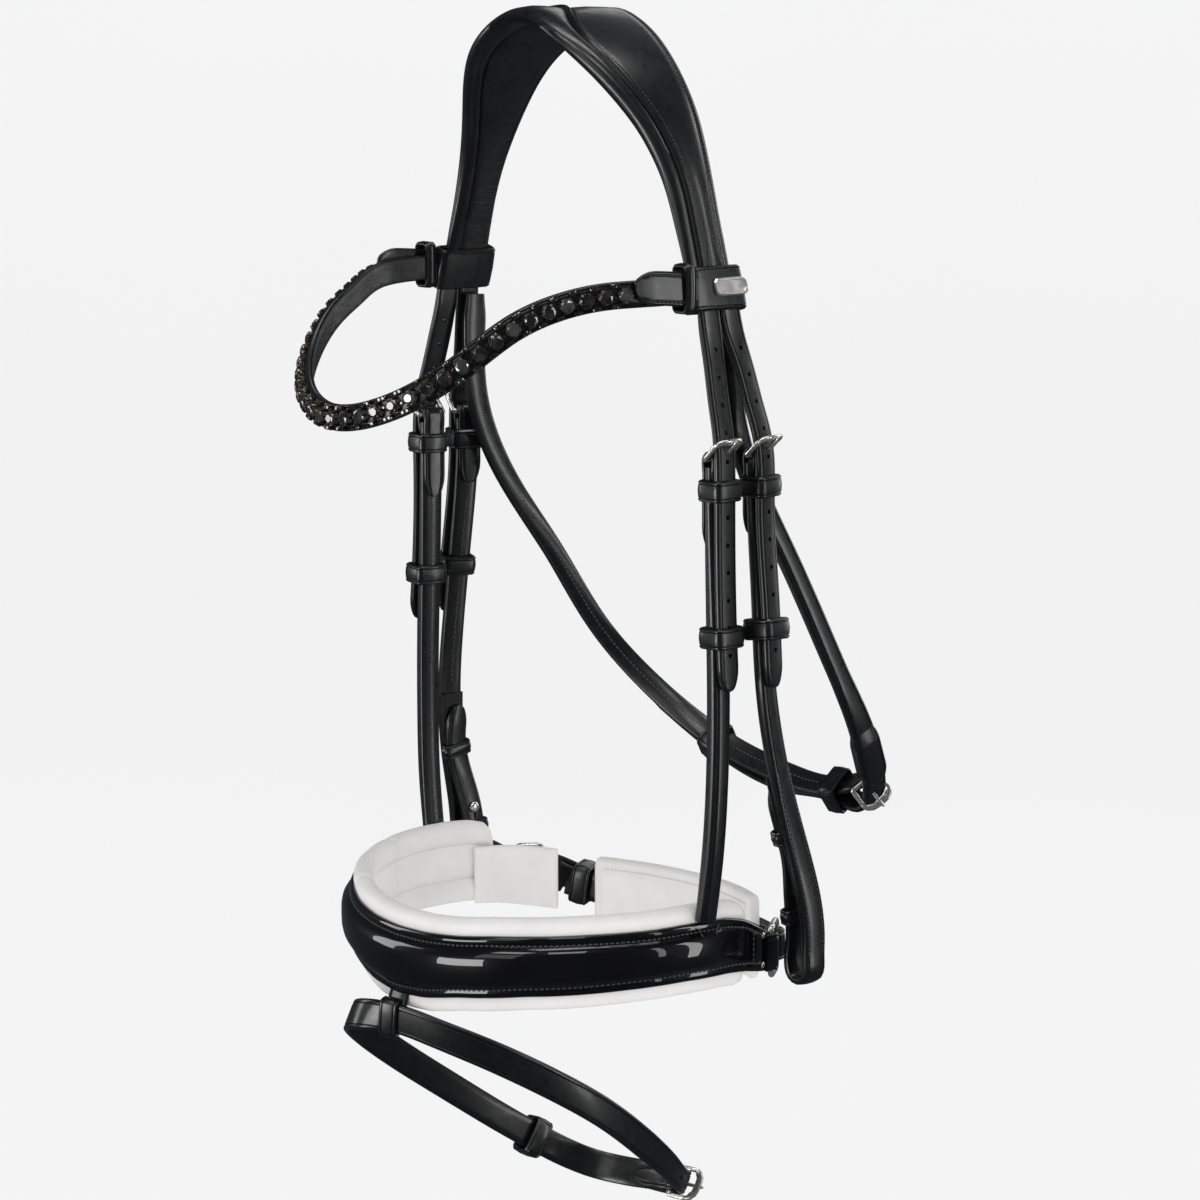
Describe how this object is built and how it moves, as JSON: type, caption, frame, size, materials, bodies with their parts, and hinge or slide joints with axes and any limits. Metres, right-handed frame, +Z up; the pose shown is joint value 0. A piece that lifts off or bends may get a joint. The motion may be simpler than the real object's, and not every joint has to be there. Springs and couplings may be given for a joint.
{
  "type": "snaffle bridle",
  "caption": "Black leather snaffle bridle: padded crown, stone-set browband, cheekpieces with bit loops, throatlatch, padded crank noseband and flash strap.",
  "frame": {"origin": "middle of the underside of the crown padding, where it rests on the poll", "axes": "+Z up, -Y the way the horse looks, +X the horse's near (left) side"},
  "size_m": [0.2624, 0.2794, 0.6093],
  "materials": {
    "black_leather": "satin bridle leather with a fine grain",
    "patent_leather": "high-gloss patent leather",
    "white_leather": "soft white padded leather",
    "nickel": "polished nickel plate, brushed bar",
    "steel_wire": "polished stainless wire",
    "cup_metal": "bronze-gold claw settings",
    "stone": "black cut stones"
  },
  "bodies": {
    "crown": {"crown_top": "black_leather", "crown_padding": "black_leather"},
    "browband": {"browband_strap": "black_leather", "browband_lining": "black_leather", "browband_cups": "cup_metal", "browband_stones": "stone", "browband_loop_near": "black_leather", "browband_loop_far": "black_leather", "badge_plate": "nickel"},
    "noseband": {"noseband_shell": "black_leather", "noseband_patent": "patent_leather", "noseband_lining": "white_leather", "noseband_flap": "white_leather", "noseband_ring_near": "steel_wire", "noseband_ring_far": "steel_wire", "crank_strap": "black_leather", "crank_chape": "black_leather", "crank_buckle_frame": "nickel", "chin_pad": "white_leather", "noseband_billet_near": "black_leather", "noseband_hanger_near": "black_leather", "hanger_buckle_near_frame": "nickel", "hanger_keeper_near": "black_leather", "noseband_billet_far": "black_leather", "noseband_hanger_far": "black_leather", "hanger_buckle_far_frame": "nickel", "hanger_keeper_far": "black_leather"},
    "flash": {"flash_strap": "black_leather", "flash_buckle_frame": "nickel", "flash_loop": "black_leather"},
    "throatlatch": {"throat_strap": "black_leather", "throat_billet": "black_leather", "throat_buckle_frame": "nickel", "throat_keeper": "black_leather"},
    "cheek_near": {"cheek_billet_near": "black_leather", "cheekpiece_near": "black_leather", "cheek_buckle_near_frame": "nickel", "cheek_keeper_near": "black_leather", "bit_keepers_near": "black_leather", "hook_stud_near": "nickel"},
    "cheek_far": {"cheek_billet_far": "black_leather", "cheekpiece_far": "black_leather", "cheek_buckle_far_frame": "nickel", "cheek_keeper_far": "black_leather", "bit_keepers_far": "black_leather", "hook_stud_far": "nickel"},
    "hanger_buckle_near_tongue": {"hanger_buckle_near_tongue": "nickel"},
    "cheek_buckle_near_tongue": {"cheek_buckle_near_tongue": "nickel"},
    "hanger_runner_near": {"hanger_runner_near": "black_leather"},
    "cheek_runner_near": {"cheek_runner_near": "black_leather"},
    "hanger_buckle_far_tongue": {"hanger_buckle_far_tongue": "nickel"},
    "cheek_buckle_far_tongue": {"cheek_buckle_far_tongue": "nickel"},
    "hanger_runner_far": {"hanger_runner_far": "black_leather"},
    "cheek_runner_far": {"cheek_runner_far": "black_leather"},
    "crank_buckle_tongue": {"crank_buckle_tongue": "nickel"},
    "flash_buckle_tongue": {"flash_buckle_tongue": "nickel"},
    "throat_buckle_tongue": {"throat_buckle_tongue": "nickel"},
    "crank_runner": {"crank_runner": "black_leather"},
    "flash_runner": {"flash_runner": "black_leather"},
    "throat_runner": {"throat_runner": "black_leather"}
  },
  "joints": [
    {"name": "browband_tilt", "type": "hinge", "parent": "crown", "child": "browband", "pos_m": [0, -0.0119, -0.116], "axis": [1, 0, 0], "range_deg": [-4, 4]},
    {"name": "noseband_swing", "type": "hinge", "parent": "crown", "child": "noseband", "pos_m": [0, -0.0182, -0.134], "axis": [-1, 0, 0], "range_deg": [0, 15]},
    {"name": "flash_swing", "type": "hinge", "parent": "noseband", "child": "flash", "pos_m": [0, -0.1315, -0.459], "axis": [1, 0, 0], "range_deg": [-30, 4]},
    {"name": "throatlatch_swing", "type": "hinge", "parent": "crown", "child": "throatlatch", "pos_m": [0, -0.003, -0.134], "axis": [1, 0, 0], "range_deg": [-10, 25]},
    {"name": "cheek_swing_near", "type": "hinge", "parent": "crown", "child": "cheek_near", "pos_m": [0.101, -0.0046, -0.134], "axis": [0, -1, 0], "range_deg": [0, 35]},
    {"name": "cheek_swing_far", "type": "hinge", "parent": "crown", "child": "cheek_far", "pos_m": [-0.101, -0.0046, -0.134], "axis": [0, 1, 0], "range_deg": [0, 35]},
    {"name": "hanger_buckle_near_tongue_lift", "type": "hinge", "parent": "noseband", "child": "hanger_buckle_near_tongue", "pos_m": [0.11, -0.0218, -0.193], "axis": [-0.0698, 0.9976, 0], "range_deg": [0, 5]},
    {"name": "cheek_buckle_near_tongue_lift", "type": "hinge", "parent": "cheek_near", "child": "cheek_buckle_near_tongue", "pos_m": [0.111, 0.0025, -0.193], "axis": [-0.1961, 0.9806, 0], "range_deg": [0, 5]},
    {"name": "hanger_runner_near_slide", "type": "slide", "parent": "noseband", "child": "hanger_runner_near", "axis": [0.0363, -0.0045, -0.9993], "range_m": [-0.006, 0.006]},
    {"name": "cheek_runner_near_slide", "type": "slide", "parent": "cheek_near", "child": "cheek_runner_near", "axis": [0.1112, -0.026, -0.9935], "range_m": [-0.006, 0.006]},
    {"name": "hanger_buckle_far_tongue_lift", "type": "hinge", "parent": "noseband", "child": "hanger_buckle_far_tongue", "pos_m": [-0.11, -0.0218, -0.193], "axis": [-0.0698, -0.9976, 0], "range_deg": [0, 5]},
    {"name": "cheek_buckle_far_tongue_lift", "type": "hinge", "parent": "cheek_far", "child": "cheek_buckle_far_tongue", "pos_m": [-0.111, 0.0025, -0.193], "axis": [-0.1961, -0.9806, 0], "range_deg": [0, 5]},
    {"name": "hanger_runner_far_slide", "type": "slide", "parent": "noseband", "child": "hanger_runner_far", "axis": [-0.0363, -0.0045, -0.9993], "range_m": [-0.006, 0.006]},
    {"name": "cheek_runner_far_slide", "type": "slide", "parent": "cheek_far", "child": "cheek_runner_far", "axis": [-0.1112, -0.026, -0.9935], "range_m": [-0.006, 0.006]},
    {"name": "crank_buckle_tongue_lift", "type": "hinge", "parent": "noseband", "child": "crank_buckle_tongue", "pos_m": [-0.027, 0.0678, -0.4515], "axis": [0, 0, -1], "range_deg": [0, 5]},
    {"name": "flash_buckle_tongue_lift", "type": "hinge", "parent": "flash", "child": "flash_buckle_tongue", "pos_m": [0.0205, 0.033, -0.5856], "axis": [0, 0.507, 0.8619], "range_deg": [0, 5]},
    {"name": "throat_buckle_tongue_lift", "type": "hinge", "parent": "throatlatch", "child": "throat_buckle_tongue", "pos_m": [0.0886, 0.0996, -0.3704], "axis": [-0.4179, -0.6741, -0.609], "range_deg": [0, 5]},
    {"name": "crank_runner_slide", "type": "slide", "parent": "noseband", "child": "crank_runner", "axis": [0.8803, 0.4501, -0.15], "range_m": [-0.003, 0.003]},
    {"name": "flash_runner_slide", "type": "slide", "parent": "flash", "child": "flash_runner", "axis": [0.2587, 0.796, -0.5472], "range_m": [-0.002, 0.001]},
    {"name": "throat_runner_slide", "type": "slide", "parent": "throatlatch", "child": "throat_runner", "axis": [0.9722, 0.0953, -0.2139], "range_m": [-0.006, 0.006]}
  ]
}
